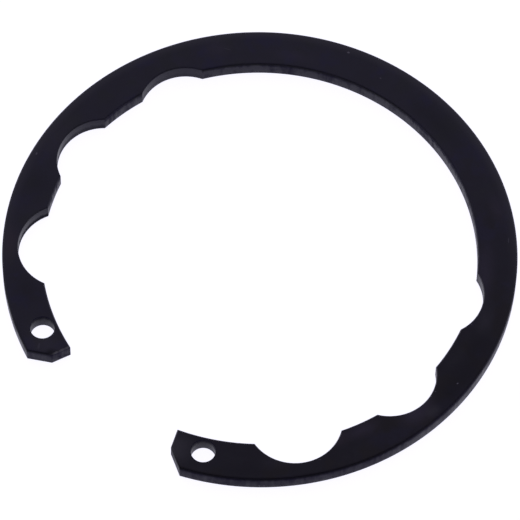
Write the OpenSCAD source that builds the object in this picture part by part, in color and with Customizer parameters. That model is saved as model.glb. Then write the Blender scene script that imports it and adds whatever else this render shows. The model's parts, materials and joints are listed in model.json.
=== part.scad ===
/* [Ring] */
// Outer diameter of the ring while it is free of its bore
outer_d = 59.2; // [49:0.1:72]
// Width of the ring between its inner and outer edges
ring_w = 4.55; // [3.7:0.05:5.5]
// Thickness of the sheet that the ring is stamped from
thickness = 2; // [1.6:0.1:2.5]
// Rounding left on every edge by stamping and tumbling
edge_r = 0.15; // [0.1:0.01:0.2]

/* [Lug ends] */
// Gap between the two ends, at their inner corners
gap_w = 16.1; // [13:0.1:20]
// Length of the flat that faces the other end
end_flat = 2.35; // [1.9:0.05:2.9]
// Lean of that flat away from the radius, in degrees
end_lean = 4; // [0:0.5:8]
// Slope of the outer corner's cut away from the radius, in degrees
end_slope = 42; // [35:1:50]

/* [Plier holes] */
// Diameter of each plier hole
hole_d = 2.8; // [2.2:0.1:3.4]
// Wall between a plier hole and the inner edge
hole_wall = 0.38; // [0.36:0.01:0.5]
// Distance from the end of the ring to a plier hole, along the inner edge
hole_setback = 3.5; // [2.9:0.1:4.5]

/* [Scallops] */
// Radius of every scallop
scallop_r = 5.4; // [4.5:0.1:6.5]
// Distance from a plier hole to the first scallop, along the inner edge
scallop_start = 10.4; // [8.7:0.1:12.5]
// Distance from one scallop to the next, along the inner edge
scallop_pitch = 14.1; // [12:0.1:16]
// Width of ring left behind each scallop, from the lug towards the back
width_left = [1.8, 2.5, 3.25]; // [1.5:0.05:4]

/* [Hidden] */
$fn = 96;
clear = 1; // how far a cutter runs past what it cuts
outer_r = outer_d / 2;
inner_r = outer_r - ring_w;
end_angle = asin(gap_w / 2 / inner_r);
hole_angle = end_angle + along_edge(hole_setback);
hole_centre = inner_r + hole_wall + hole_d / 2;

// Angles are counted from the middle of the gap, which lies towards -Y

// Angle that a length takes up when it is laid along the inner edge
function along_edge(length) = length / inner_r * 180 / PI;

// Angle of a scallop, counted from the lug
function scallop_angle(i) = hole_angle + along_edge(scallop_start + i * scallop_pitch);

// Point at a distance from the ring's axis and an angle from the gap
function polar(r, angle) = [r * sin(angle), -r * cos(angle)];

// Section of the ring at one side: a wall along x = 0 with both its edges rounded
module rounded_side(depth) {
    half = thickness / 2;
    translate([0, edge_r - half]) square([depth, thickness - 2 * edge_r]);
    translate([edge_r, -half]) square([depth - edge_r, thickness]);
    for (z = [edge_r - half, half - edge_r])
        translate([edge_r, z]) circle(r = edge_r);
}

// Section of a punch that reaches from x = start to a wall, and rounds that wall's edges
module punch_section(start, wall) {
    difference() {
        translate([start, -thickness / 2 - clear])
            square([wall - start + edge_r, thickness + 2 * clear]);
        translate([wall, 0]) rounded_side(edge_r + clear);
    }
}

// The plain ring, before anything is punched out of it
module blank() {
    overlap_w = 0.6 * ring_w; // each side reaches past the middle, so that the two join
    rotate_extrude() {
        translate([inner_r, 0]) rounded_side(overlap_w);
        translate([outer_r, 0]) mirror([1, 0]) rounded_side(overlap_w);
    }
}

// Takes out a round hole or a scallop
module round_punch(r) {
    rotate_extrude() punch_section(0, r);
}

// Takes out everything on the -X side of a straight wall along Y
module straight_punch() {
    rotate([90, 0, 0])
        linear_extrude(height = 2 * (ring_w + clear), center = true)
            punch_section(-gap_w / 2 - clear, 0);
}

// Opens the middle of the gap
module gap_cut() {
    translate([-gap_w / 4, -outer_r - clear, -thickness / 2 - clear])
        cube([gap_w / 2, ring_w + 3 * clear, thickness + 2 * clear]);
}

// Shapes the end of the right-hand lug: a flat towards the gap and a sloped outer corner
module end_cuts() {
    flat_angle = end_angle + end_lean;
    inner_corner = polar(inner_r, end_angle);
    translate(inner_corner) rotate(flat_angle) straight_punch();
    translate(inner_corner + polar(end_flat, flat_angle))
        rotate(end_angle + end_slope) straight_punch();
}

// The scallops of the right-hand half, deepest beside the lug
module scallops() {
    for (i = [0 : len(width_left) - 1])
        translate(polar(outer_r - width_left[i] - scallop_r, scallop_angle(i)))
            round_punch(scallop_r);
}

module retaining_ring() {
    color("#20202a")
        difference() {
            blank();
            gap_cut();
            for (side = [0, 1])
                mirror([side, 0, 0]) {
                    end_cuts();
                    translate(polar(hole_centre, hole_angle)) round_punch(hole_d / 2);
                    scallops();
                }
        }
}

retaining_ring();
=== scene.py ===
"""An internal retaining ring of phosphated spring steel, lying flat on a pale studio table."""

import json
import math

import bpy
from mathutils import Matrix, Vector


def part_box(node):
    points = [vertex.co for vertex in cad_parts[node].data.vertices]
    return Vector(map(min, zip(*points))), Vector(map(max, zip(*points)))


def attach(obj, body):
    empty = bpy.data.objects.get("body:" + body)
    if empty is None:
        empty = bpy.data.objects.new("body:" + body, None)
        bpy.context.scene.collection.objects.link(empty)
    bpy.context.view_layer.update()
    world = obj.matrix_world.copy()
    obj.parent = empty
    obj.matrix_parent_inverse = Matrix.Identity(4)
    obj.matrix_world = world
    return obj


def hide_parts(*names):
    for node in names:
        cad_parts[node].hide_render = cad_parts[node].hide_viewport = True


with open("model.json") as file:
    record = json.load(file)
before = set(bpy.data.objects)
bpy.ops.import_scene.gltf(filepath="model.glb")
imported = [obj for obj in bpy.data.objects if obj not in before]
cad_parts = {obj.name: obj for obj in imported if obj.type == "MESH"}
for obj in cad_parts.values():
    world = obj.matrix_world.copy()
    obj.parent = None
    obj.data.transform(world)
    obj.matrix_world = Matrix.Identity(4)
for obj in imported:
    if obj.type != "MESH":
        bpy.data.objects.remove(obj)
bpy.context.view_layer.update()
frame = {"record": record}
mounts = {mount["name"]: mount for mount in frame["record"]["mounts"]}

MM = 0.001

# ---------------------------------------------------------------- sizes, in metres
# From the frame
ring_low, ring_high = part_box("retaining_ring")
THICKNESS = ring_high.z - ring_low.z
TABLE_Z = ring_low.z
OUTER_R = mounts["outer_rim"]["dims"]["r_mm"] * MM
HOLE_R = mounts["plier_hole_right"]["dims"]["r_mm"] * MM
PLIER_HOLE = Vector(mounts["plier_hole_right"]["pos_m"])

# The ring's own driving sizes
RING_W = 4.55 * MM
GAP_W = 16.1 * MM
END_FLAT = 2.35 * MM
END_LEAN = math.radians(4)
END_SLOPE = math.radians(42)
SCALLOP_R = 5.4 * MM
SCALLOP_START = 10.4 * MM
SCALLOP_PITCH = 14.1 * MM
WIDTH_LEFT = [1.8 * MM, 2.5 * MM, 3.25 * MM]

# How far each upper edge is rolled by the press; the lower ones stay keen
ROLLED_EDGES = {
    "outer rim": 0.30 * MM, "inner rim": 0.22 * MM, "scallop": 0.18 * MM, "end": 0.22 * MM,
    "plier hole": 0.02 * MM,
}
KEEN_EDGE = 0.03 * MM
EDGE_STEPS = 8

# How badly the lower part of each scallop's wall is torn, from the lug on, and the attribute that
# says so; the dark band drawn from it is partly torn steel and partly painted shade at the wall's
# foot
TEARING = [1.0, 0.6, 0.3]
TORN = "torn"

# Patches of thinner or thicker coating: angle from the middle of the gap in degrees, then radius,
# half length and half width in mm, colour and strength
PALE = (0.034, 0.031, 0.043, 1)
LILAC = (0.033, 0.0265, 0.048, 1)
RUSSET = (0.034, 0.025, 0.037, 1)
DEEP = (0.006, 0.005, 0.011, 1)
PATCHES = [
    (20, 27.4, 3.0, 3.4, PALE, 0.9), (36, 28.6, 5.0, 1.6, DEEP, 0.5),
    (58, 25.9, 4.0, 1.5, RUSSET, 0.7), (67, 25.9, 3.0, 1.4, LILAC, 0.6),
    (81, 27.3, 3.4, 2.4, LILAC, 0.9), (85, 26.4, 1.6, 1.4, PALE, 0.4),
    (95, 28.2, 8.0, 2.2, DEEP, 0.6), (111, 27.2, 3.0, 1.4, PALE, 0.4),
    (123, 25.8, 6.0, 1.8, LILAC, 0.6), (142, 28.0, 3.0, 1.5, LILAC, 0.4),
    (170, 26.8, 8.0, 2.0, DEEP, 0.4), (-148, 26.4, 4.0, 1.2, LILAC, 0.3),
    (-129, 27.6, 2.4, 2.0, LILAC, 0.35), (-82, 27.9, 5.0, 1.8, PALE, 0.35),
    (-68, 27.0, 3.0, 2.5, DEEP, 0.3), (-51, 28.7, 3.6, 1.6, RUSSET, 0.6),
    (-38, 27.4, 3.0, 2.6, DEEP, 0.3), (-23, 27.3, 4.0, 3.0, PALE, 0.55),
    (-19.5, 27.4, 0.9, 1.1, DEEP, 1.0), (45, 27.6, 3.0, 1.2, PALE, 0.2),
    (104, 27.6, 3.0, 1.8, DEEP, 0.5), (90.2, 28.4, 1.2, 1.2, DEEP, 0.6),
    (83.5, 28.6, 1.4, 1.0, PALE, 0.6),
]

# Specks of dust, fine scratches and nicks: middle, half length and half width in mm, turn in
# degrees and strength
DUST = (0.11, 0.10, 0.13, 1)
MARKS = [
    ((28.24, 1.33, 1), (0.15, 0.08), 70, 1.0), ((-9.42, 27.06, 1), (0.20, 0.14), 20, 0.8),
    ((-27.94, -7.23, 1), (0.22, 0.12), 110, 0.6), ((-4.30, 26.80, 1), (0.15, 0.10), 0, 0.4),
    ((20.87, 19.58, 1), (0.45, 0.06), 130, 0.35), ((27.01, -1.09, 1), (0.12, 0.10), 0, 0.4),
    ((-10.80, -26.00, 1), (0.50, 0.16), 120, 0.16), ((22.65, -16.25, 1), (0.25, 0.08), 40, 0.3),
    ((-20.50, 18.10, 1), (0.60, 0.05), 200, 0.2), ((24.62, 8.26, 1), (0.15, 0.10), 0, 0.3),
    ((19.18, -22.54, -0.62), (0.16, 0.15), 40, 0.5), ((19.58, -22.20, -0.62), (0.16, 0.15), 41, 0.5),
]

# How finely the round walls are cut
RIM_SIDES = 720
SCALLOP_SIDES = 256
HOLE_SIDES = 128

# Where the camera stands: its angle round from the middle of the gap, its height and its tilt, then
# how far away it is and how far it stands to the side and up, in radii of the ring
CAMERA_AZIMUTH, CAMERA_ELEVATION, CAMERA_ROLL = (math.radians(a) for a in (39.43, 60.46, 1.22))
CAMERA_AWAY = 18.7
CAMERA_ASIDE = Vector((0.0008, -0.0081, 0))
LENS_MM = 332.7
SENSOR_MM = 36

# How near and how far the lens sees, and the side of the table, in metres
CLIP_START, CLIP_END = 0.01, 20
TABLE_SIDE = 6

# Colours of the table and of its glow, and the tint of the room's light
TABLE_GREY = (0.2, 0.2, 0.2, 1)
TABLE_GLOW = (0.95, 0.94, 1.06, 1)
STUDIO_TINT = (0.98, 0.96, 1.10)

INNER_R = OUTER_R - RING_W
END_ANGLE = math.asin(GAP_W / 2 / INNER_R)
HOLE_ANGLE = math.atan2(PLIER_HOLE.x, -PLIER_HOLE.y)
CUT_HEIGHT = 3 * THICKNESS
CUT_LENGTH = 3 * RING_W
NEAR = 0.01 * MM
SHARP_TURN = math.radians(35)


def polar(radius, angle):
    """Point at a distance from the ring's axis and an angle from the middle of the gap."""
    return Vector((radius * math.sin(angle), -radius * math.cos(angle), 0))


SCALLOPS = [
    polar(OUTER_R - left - SCALLOP_R, HOLE_ANGLE + (SCALLOP_START + i * SCALLOP_PITCH) / INNER_R)
    for i, left in enumerate(WIDTH_LEFT)
]


# ---------------------------------------------------------------- modelling by hand
def take(piece):
    """Selects only this piece and makes it the active one."""
    bpy.ops.object.select_all(action="DESELECT")
    piece.select_set(True)
    bpy.context.view_layer.objects.active = piece


def added(name):
    """Names the primitive that was just added, and puts its place and turn into its mesh."""
    piece = bpy.context.object
    piece.name = piece.data.name = name
    take(piece)
    bpy.ops.object.transform_apply(location=True, rotation=True, scale=True)
    return piece


def cylinder(name, radius, place, height, sides):
    bpy.ops.object.select_all(action="DESELECT")
    bpy.ops.mesh.primitive_cylinder_add(vertices=sides, radius=radius, depth=height, location=place)
    return added(name)


def block(name, size, place, turn):
    bpy.ops.object.select_all(action="DESELECT")
    bpy.ops.mesh.primitive_cube_add(size=1, location=place, rotation=(0, 0, turn), scale=size)
    return added(name)


def finish_with(piece, kind, **settings):
    """Adds a modifier to the piece and applies it."""
    take(piece)
    modifier = piece.modifiers.new(kind.title(), kind)
    for name, value in settings.items():
        setattr(modifier, name, value)
    bpy.ops.object.modifier_apply(modifier=modifier.name)


def punch(piece, cutter):
    """Takes the cutter out of the piece."""
    finish_with(piece, "BOOLEAN", operation="DIFFERENCE", solver="EXACT", object=cutter)
    bpy.data.objects.remove(cutter)


# ---------------------------------------------------------------- the ring
def punch_end(ring, side):
    """Shapes the end of one lug: a flat towards the gap and a sloped outer corner."""
    flat_angle = END_ANGLE + END_LEAN
    slope_angle = END_ANGLE + END_SLOPE
    corner = polar(INNER_R, END_ANGLE)
    tip = corner + polar(END_FLAT, flat_angle)
    width = GAP_W / 2
    for wall, angle in ((corner, flat_angle), (tip, slope_angle)):
        middle = wall - Vector((math.cos(angle), math.sin(angle), 0)) * width / 2
        middle.x *= side
        punch(ring, block("end_cut", (width, CUT_LENGTH, CUT_HEIGHT), middle, side * angle))


def nearest_scallop(place):
    """Number of the scallop whose wall is nearest, and how far away that wall is."""
    place = Vector((abs(place.x), place.y, 0))
    gaps = [abs((place - centre).length - SCALLOP_R) for centre in SCALLOPS]
    return gaps.index(min(gaps)), min(gaps)


def upright(normal):
    return abs(normal.z) < 0.5


def wall_kind(place, normal):
    """Which wall of the ring a point lies on."""
    place = Vector((abs(place.x), place.y, 0))
    radius = place.length
    if abs(normal.dot(place) / radius) > 0.9 or abs(radius - OUTER_R) < NEAR:
        for kind, rim in (("outer rim", OUTER_R), ("inner rim", INNER_R)):
            if abs(radius - rim) < NEAR:
                return kind
    if abs((place - Vector((PLIER_HOLE.x, PLIER_HOLE.y, 0))).length - HOLE_R) < NEAR:
        return "plier hole"
    if nearest_scallop(place)[1] < NEAR:
        return "scallop"
    return "end"


def mark_tearing(ring):
    """Writes on each face of a scallop's wall how badly that wall is torn."""
    torn = ring.data.attributes.new(TORN, "FLOAT", "FACE")
    for face in ring.data.polygons:
        if upright(face.normal) and wall_kind(face.center, face.normal) == "scallop":
            torn.data[face.index].value = TEARING[nearest_scallop(face.center)[0]]


def roll_edges(ring, kinds):
    """Rounds the upper and lower edges of walls of these kinds."""
    mesh = ring.data
    walls = {}
    for face in mesh.polygons:
        if upright(face.normal):
            for key in face.edge_keys:
                walls[key] = face.normal.copy()
    widest = max(ROLLED_EDGES[kind] for kind in kinds)
    name = "bevel_weight_edge"
    weights = mesh.attributes.get(name) or mesh.attributes.new(name, "FLOAT", "EDGE")
    for edge in mesh.edges:
        low, high = (mesh.vertices[i].co for i in edge.vertices)
        width = 0.0
        level = abs(low.z - high.z) < NEAR
        on_face = abs(abs(low.z) - THICKNESS / 2) < NEAR
        if edge.key in walls and level and on_face:
            middle = (low + high) / 2
            kind = wall_kind(middle, walls[edge.key])
            if kind in kinds:
                width = ROLLED_EDGES[kind] if middle.z > 0 else KEEN_EDGE
        weights.data[edge.index].value = width / widest
    finish_with(ring, "BEVEL", width=widest, segments=EDGE_STEPS, limit_method="WEIGHT",
                use_clamp_overlap=False)


def make_ring():
    ring = cylinder("ring_steel", OUTER_R, (0, 0, 0), THICKNESS, RIM_SIDES)
    punch(ring, cylinder("middle_cut", INNER_R, (0, 0, 0), CUT_HEIGHT, RIM_SIDES))
    punch(ring, block("gap_cut", (GAP_W / 2, CUT_LENGTH, CUT_HEIGHT), polar(OUTER_R, 0), 0))
    for side in (1, -1):
        punch_end(ring, side)
        for centre in SCALLOPS:
            place = (side * centre.x, centre.y, 0)
            punch(ring, cylinder("scallop_cut", SCALLOP_R, place, CUT_HEIGHT, SCALLOP_SIDES))
    mark_tearing(ring)
    roll_edges(ring, ["outer rim", "inner rim", "scallop", "end"])
    for side in (1, -1):
        hole = (side * PLIER_HOLE.x, PLIER_HOLE.y, 0)
        punch(ring, cylinder("plier_hole_cut", HOLE_R, hole, CUT_HEIGHT, HOLE_SIDES))
    roll_edges(ring, ["plier hole"])
    take(ring)
    bpy.ops.object.shade_smooth_by_angle(angle=SHARP_TURN)
    finish_with(ring, "WEIGHTED_NORMAL", mode="FACE_AREA", weight=100, keep_sharp=True)
    return ring


# ---------------------------------------------------------------- shader maths
class Value:
    """A socket whose sums and products are Math nodes."""

    def __init__(self, finish, socket):
        self.finish = finish
        self.socket = socket

    def math(self, operation, *others):
        return self.finish.node("ShaderNodeMath", {"operation": operation}, self, *others)

    def __add__(self, other):
        return self.math("ADD", other)

    def __sub__(self, other):
        return self.math("SUBTRACT", other)

    def __mul__(self, other):
        return self.math("MULTIPLY", other)

    def __rsub__(self, other):
        return self.finish.node("ShaderNodeMath", {"operation": "SUBTRACT"}, other, self)

    __radd__ = __add__
    __rmul__ = __mul__


class Finish:
    """A material or a world, built one node at a time."""

    def __init__(self, owner):
        owner.use_nodes = True
        self.tree = owner.node_tree
        self.tree.nodes.clear()

    def node(self, kind, settings, *values, output=0, **named_values):
        """Adds a node, sets it and its sockets, and returns one of its outputs."""
        made = self.tree.nodes.new(kind)
        for name, value in settings.items():
            if name == "stops":
                elements = made.color_ramp.elements
                while len(elements) < len(value):
                    elements.new(1.0)
                for element, (position, level) in zip(elements, value):
                    element.position = position
                    element.color = (level, level, level, 1)
            else:
                setattr(made, name, value)
        places = list(enumerate(values))
        places += [(name.replace("_", " "), value) for name, value in named_values.items()]
        for place, value in places:
            socket = made.inputs[place]
            if isinstance(value, Value):
                self.tree.links.new(value.socket, socket)
            else:
                socket.default_value = value
        return Value(self, made.outputs[output]) if made.outputs else made

    def output_of(self, value, name):
        return Value(self, value.socket.node.outputs[name])

    def parts(self, vector):
        """The three coordinates of a vector."""
        split = self.node("ShaderNodeSeparateXYZ", {}, vector)
        return [self.output_of(split, axis) for axis in "XYZ"]

    def stretch(self, vector, factors):
        """Multiplies each coordinate, so that a pattern grows longer where the factor is small."""
        return self.node("ShaderNodeVectorMath", {"operation": "MULTIPLY"}, vector, factors)

    def fade(self, value, start, end, low=0.0, high=1.0):
        """Goes smoothly from low to high while the value goes from start to end."""
        return self.node("ShaderNodeMapRange", {"interpolation_type": "SMOOTHSTEP"},
                         value, start, end, low, high)

    def noise(self, place, size, detail, roughness):
        """Cloudy noise whose features are about that size, in metres."""
        return self.node("ShaderNodeTexNoise", {}, Vector=place, Scale=1 / size, Detail=detail,
                         Roughness=roughness)

    def islands(self, place, size, detail, roughness):
        """The same noise drawn apart into patches, from 0 between them to 1 inside."""
        return self.fade(self.noise(place, size, detail, roughness), 0.35, 0.65)

    def ramp(self, value, stops):
        """Grey levels at the given values, with straight lines between them."""
        return self.node("ShaderNodeValToRGB", {"stops": stops}, value)

    def blend(self, share, first, second):
        """Mixes two colours."""
        return self.node("ShaderNodeMix", {"data_type": "RGBA"}, output=2,
                         Factor=share, A=first, B=second)


# ---------------------------------------------------------------- finishes
# Colours of the coating: black, a paler violet, and what stains and tinges it
BLACK = (0.0105, 0.0088, 0.0160, 1)
VIOLET = (0.0190, 0.0172, 0.0310, 1)
BROWN = (0.0125, 0.0100, 0.0135, 1)
INDIGO = (0.0170, 0.0150, 0.0400, 1)
SLATE = (0.0175, 0.0170, 0.0240, 1)

# Colours of walls and plier holes, of the torn band and of painted shade, and of painted highlights
# along edges
BURNISHED = (0.0075, 0.0055, 0.0210, 1)
HOLE_VIOLET = (0.0090, 0.0065, 0.0290, 1)
TORN_AND_SHADE_DARK = (0.0015, 0.0012, 0.0045, 1)
OUTER_EDGE_SHEEN = (0.0350, 0.0325, 0.0450, 1)
INNER_EDGE_HIGHLIGHT = (0.0900, 0.0850, 0.1000, 1)

OILED_SPECULAR = 0.115
MATT_ROUGHNESS = 0.8
CRYSTAL_HEIGHT = 0.008 * MM
SPOT_DEPTH = 0.2 * MM
UPRIGHT_GRAIN = (1, 1, 0.15)


def spot(f, place, middle, half_size, turn, sharpness):
    """1 in the middle of a flat oval spot and 0 outside it."""
    size = (half_size[0] * MM, half_size[1] * MM, SPOT_DEPTH)
    inside = f.node("ShaderNodeMapping", {"vector_type": "TEXTURE"}, place, middle,
                    (0, 0, math.radians(turn)), size)
    reach = f.node("ShaderNodeVectorMath", {"operation": "LENGTH"}, inside, output=1)
    return f.fade(reach, sharpness, 1.0, 1.0, 0.0)


class RingSurface:
    """What the finish goes by at each point: distances in metres, and shares from 0 to 1."""

    def __init__(self, f):
        self.place = f.output_of(f.node("ShaderNodeTexCoord", {}), "Object")
        self.x, self.y, z = f.parts(self.place)
        self.radius = (self.x * self.x + self.y * self.y).math("SQRT")
        self.below_top = THICKNESS / 2 - z
        above_bottom = THICKNESS / 2 + z
        hole_x = self.x.math("ABSOLUTE") - PLIER_HOLE.x
        hole_y = self.y - PLIER_HOLE.y
        from_hole = (hole_x * hole_x + hole_y * hole_y).math("SQRT")
        self.in_hole = f.fade(from_hole, HOLE_R + 0.02 * MM, HOLE_R + 0.06 * MM, 1.0, 0.0)
        from_face = self.below_top.math("MINIMUM", above_bottom)
        self.wall = f.fade(from_face, 0.04 * MM, 0.25 * MM).math("MAXIMUM", self.in_hole)
        self.near_outer = f.fade(self.radius, OUTER_R - 0.6 * RING_W, OUTER_R - 0.4 * RING_W)

        # An oil film, clouds and patches over fine phosphate crystals, and upright streaks
        self.film = f.islands(self.place, 6 * MM, 4.0, 0.6)
        self.cloud = f.noise(self.place, 1.6 * MM, 4.0, 0.65)
        self.crystals = f.noise(self.place, 0.09 * MM, 3.0, 0.6)
        self.patches = f.islands(self.place, 2.6 * MM, 4.0, 0.65)
        self.streaks = f.islands(f.stretch(self.place, UPRIGHT_GRAIN), 0.5 * MM, 3.0, 0.6)

        # The scallops, and the torn band along the bottom of their walls, darkened partly as torn
        # steel and partly as painted shade at their foot
        tearing = f.node("ShaderNodeAttribute", {"attribute_name": TORN}, output=2)
        self.scallop = tearing.math("GREATER_THAN", 0.01)
        torn_height = above_bottom + self.streaks * (0.2 * MM)
        self.torn = tearing * f.fade(torn_height, 0.55 * MM, 1.2 * MM, 1.0, 0.0)


def coating_colour(f, on):
    """Violet-black faces, with stains and with patches where the coating is thin or thick."""
    # Paler and more violet towards the left-hand lug and the back of the ring, with less brown stain
    # and more indigo and slate tinge there
    paler_side = f.fade(on.y * 0.55 - on.x, -34 * MM, 14 * MM)
    colour = f.blend(paler_side * 0.80 + on.film * 0.20 + on.cloud * 0.5 - 0.25, BLACK, VIOLET)
    stained = f.fade(f.noise(on.place, 3.2 * MM, 3.0, 0.5), 0.50, 0.62) * (1 - paler_side * 0.8)
    colour = f.blend(stained * 0.8, colour, BROWN)
    tinge = f.noise(on.place, 3.4 * MM, 3.0, 0.55)
    colour = f.blend(f.fade(tinge, 0.52, 0.68) * (0.3 + paler_side * 0.45), colour, INDIGO)
    colour = f.blend(f.fade(tinge, 0.46, 0.32) * (0.2 + paler_side * 0.5), colour, SLATE)
    ragged = on.cloud * 0.9 + 0.55
    for angle, from_axis, half_length, half_width, tint, strength in PATCHES:
        middle = polar(from_axis * MM, math.radians(angle)) + Vector((0, 0, THICKNESS / 2))
        share = spot(f, on.place, middle, (half_length, half_width), angle, 0.0)
        colour = f.blend(share * ragged * strength, colour, tint)
    return colour


def edge_colour(f, on, colour):
    """Dark walls, a darker torn band, and painted shade and painted highlights along the edges,
    darker or paler than the faces.
    """
    colour = f.blend(on.wall * 0.85, colour, BURNISHED)
    colour = f.blend(on.in_hole * 0.85, colour, HOLE_VIOLET)
    # Dark band at the foot of the scallop walls: partly rough torn steel, partly painted shade where
    # the table's shadow falls
    colour = f.blend(on.wall * on.torn * 0.6, colour, TORN_AND_SHADE_DARK)

    # Painted highlights: pale along the outer edge towards the back, and along the inner edge
    # towards the front
    backward = on.y * 0.8 - on.x * 0.6
    painted_outer_edge_sheen = f.fade(on.radius, OUTER_R - 1.4 * MM, OUTER_R + 0.1 * MM)
    painted_outer_edge_sheen = painted_outer_edge_sheen * f.fade(backward, -10 * MM, 15 * MM)
    colour = f.blend(painted_outer_edge_sheen * f.fade(on.below_top, 0.2 * MM, 0.5 * MM, 1.0, 0.0), colour, OUTER_EDGE_SHEEN)
    painted_inner_edge_highlight = f.fade(on.below_top, 0.003 * MM, 0.03 * MM)
    painted_inner_edge_highlight = painted_inner_edge_highlight * f.fade(on.below_top, 0.12 * MM, 0.30 * MM, 1.0, 0.0)
    painted_inner_edge_highlight = painted_inner_edge_highlight * (1 - on.near_outer) * f.fade(backward, -6 * MM, 6 * MM, 1.0, 0.0)
    colour = f.blend(painted_inner_edge_highlight * (1 - on.in_hole) * (0.4 + on.streaks * 0.6), colour, INNER_EDGE_HIGHLIGHT)

    # Painted shade: dark along the front of the outer edge and the back of the inner edge
    front = f.fade(on.y, -12 * MM, -4 * MM, 1.0, 0.0)
    back = f.fade(on.x, -2 * MM, 6 * MM, 1.0, 0.0) * f.fade(on.y, 2 * MM, 8 * MM)
    painted_edge_shade = f.fade(on.below_top, 0.03 * MM, 0.09 * MM)
    painted_edge_shade = painted_edge_shade * f.fade(on.below_top, 0.26 * MM, 0.50 * MM, 1.0, 0.0)
    painted_edge_shade = painted_edge_shade * (back + on.near_outer * (front - back))
    painted_edge_shade = painted_edge_shade * (1 - on.scallop) * (1 - on.in_hole)
    return f.blend(painted_edge_shade * (0.55 + on.patches * 0.3), colour, TORN_AND_SHADE_DARK)


def marked_colour(f, on, colour):
    """Specks of dust, scratches and nicks over the colour."""
    for middle, half_size, turn, strength in MARKS:
        share = spot(f, on.place, Vector(middle) * MM, half_size, turn, 0.55) * strength
        colour = f.blend(share, colour, DUST)
    return colour


def oily_and_painted_shine(f, on):
    """Share of oily shine: all of it on the faces, and on walls by height, place and tearing."""
    # Walls shine more towards the back and at the left-hand lug's end: painted sheen, set by place
    left_end = f.fade(on.x, -13 * MM, -4 * MM, 0.28, 0.0)
    left_end = left_end * f.fade(on.y, -24 * MM, -20 * MM, 1.0, 0.0)
    level = 0.29 + f.fade(on.y, -24 * MM, 14 * MM) * 0.37 + left_end
    level = level + on.patches * 0.33 + on.streaks * 0.22
    level = level + (1 - on.near_outer) * (on.patches * 0.40 + on.streaks * 0.24 - 0.30)
    rim = f.fade(on.below_top + on.streaks * (0.1 * MM), 0.28 * MM, 0.88 * MM, 0.35, 1.0) * level
    hole = f.fade(on.below_top + on.streaks * (0.2 * MM), 0.3 * MM, 1.1 * MM, 0.25, 0.95)
    shine = rim + on.scallop * (1 - on.torn * 0.85 - rim)
    shine = shine + on.in_hole * (hole - shine)
    return 1 - on.wall * (1 - shine)


def black_phosphate():
    """Black phosphated and oiled spring steel."""
    material = bpy.data.materials.new("black_phosphate")
    f = Finish(material)
    on = RingSurface(f)
    colour = marked_colour(f, on, edge_colour(f, on, coating_colour(f, on)))
    bump = f.node("ShaderNodeBump", {}, Strength=0.3, Distance=CRYSTAL_HEIGHT,
                  Height=on.crystals + on.cloud * 2 + on.streaks * on.wall)
    rough = 0.34 + on.cloud * 0.14 - on.film * 0.06
    oiled = f.node("ShaderNodeBsdfPrincipled", {}, Base_Color=colour, Roughness=rough,
                   Normal=bump, Specular_IOR_Level=OILED_SPECULAR)
    matt = f.node("ShaderNodeBsdfPrincipled", {}, Base_Color=colour, Roughness=MATT_ROUGHNESS,
                  Normal=bump, Specular_IOR_Level=0.0)
    surface = f.node("ShaderNodeMixShader", {}, oily_and_painted_shine(f, on), matt, oiled)
    f.node("ShaderNodeOutputMaterial", {}, Surface=surface)
    return material


def white_table():
    material = bpy.data.materials.new("white_table")
    f = Finish(material)
    shader = f.node("ShaderNodeBsdfPrincipled", {}, Roughness=0.9, Base_Color=TABLE_GREY,
                    Emission_Color=TABLE_GLOW, Emission_Strength=1.0,
                    Specular_IOR_Level=0.0)
    f.node("ShaderNodeOutputMaterial", {}, Surface=shader)
    return material


# ---------------------------------------------------------------- studio
def make_table():
    bpy.ops.object.select_all(action="DESELECT")
    bpy.ops.mesh.primitive_plane_add(size=TABLE_SIDE, location=(0, 0, TABLE_Z))
    table = added("table")
    table.data.materials.append(white_table())


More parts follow.
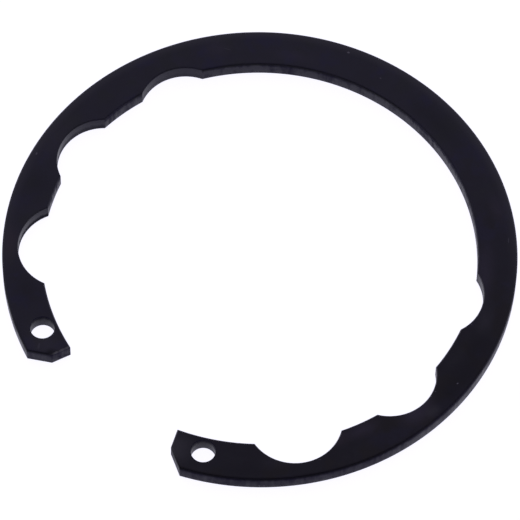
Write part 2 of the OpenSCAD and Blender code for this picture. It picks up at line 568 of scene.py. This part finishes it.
def light_studio():
    """A soft ceiling and a pale sweep behind the ring, with a dim room in front of it."""
    world = bpy.data.worlds.new("studio")
    bpy.context.scene.world = world
    f = Finish(world)
    direction = f.output_of(f.node("ShaderNodeTexCoord", {}), "Generated")
    up = f.parts(direction)[2]
    behind = Vector((-math.sin(CAMERA_AZIMUTH), math.cos(CAMERA_AZIMUTH), 0))
    side = f.node("ShaderNodeVectorMath", {"operation": "DOT_PRODUCT"}, direction, behind,
                  output=1)
    dim = f.ramp(up, [(0.00, 0.9), (0.10, 0.9), (0.20, 0.04),
                      (0.72, 0.05), (0.88, 0.55), (1.00, 0.55)])
    pale = f.ramp(up, [(0.00, 1.0), (0.60, 1.0), (0.80, 0.55), (1.00, 0.55)])
    level = f.stretch(f.blend(f.fade(side, -0.1, 0.5), dim, pale), STUDIO_TINT)
    seen = f.output_of(f.node("ShaderNodeLightPath", {}), "Is Camera Ray")
    background = f.node("ShaderNodeBackground", {}, Strength=1.0,
                        Color=f.blend(seen, level, (1, 1, 1, 1)))
    f.node("ShaderNodeOutputWorld", {}, Surface=background)


def look_down():
    """A long lens that looks down on the ring from between the gap and the right-hand lug."""
    away = CAMERA_AWAY * OUTER_R
    level = math.cos(CAMERA_ELEVATION)
    back = Vector((math.sin(CAMERA_AZIMUTH) * level, -math.cos(CAMERA_AZIMUTH) * level,
                   math.sin(CAMERA_ELEVATION)))
    turn = (-back).to_track_quat("-Z", "Y").to_matrix() @ Matrix.Rotation(CAMERA_ROLL, 3, "Z")
    target = Vector((0, 0, TABLE_Z))
    aside = turn @ CAMERA_ASIDE * OUTER_R
    lens = bpy.data.cameras.new("long_lens")
    lens.lens = LENS_MM
    lens.sensor_width = SENSOR_MM
    lens.clip_start, lens.clip_end = CLIP_START, CLIP_END
    camera = bpy.data.objects.new("camera", lens)
    bpy.context.scene.collection.objects.link(camera)
    camera.matrix_world = Matrix.Translation(target + back * away + aside) @ turn.to_4x4()
    bpy.context.scene.camera = camera


ring = make_ring()
ring.data.materials.clear()
ring.data.materials.append(black_phosphate())
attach(ring, "root")
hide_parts("retaining_ring")

make_table()
light_studio()
look_down()
bpy.context.scene.view_settings.view_transform = "Standard"
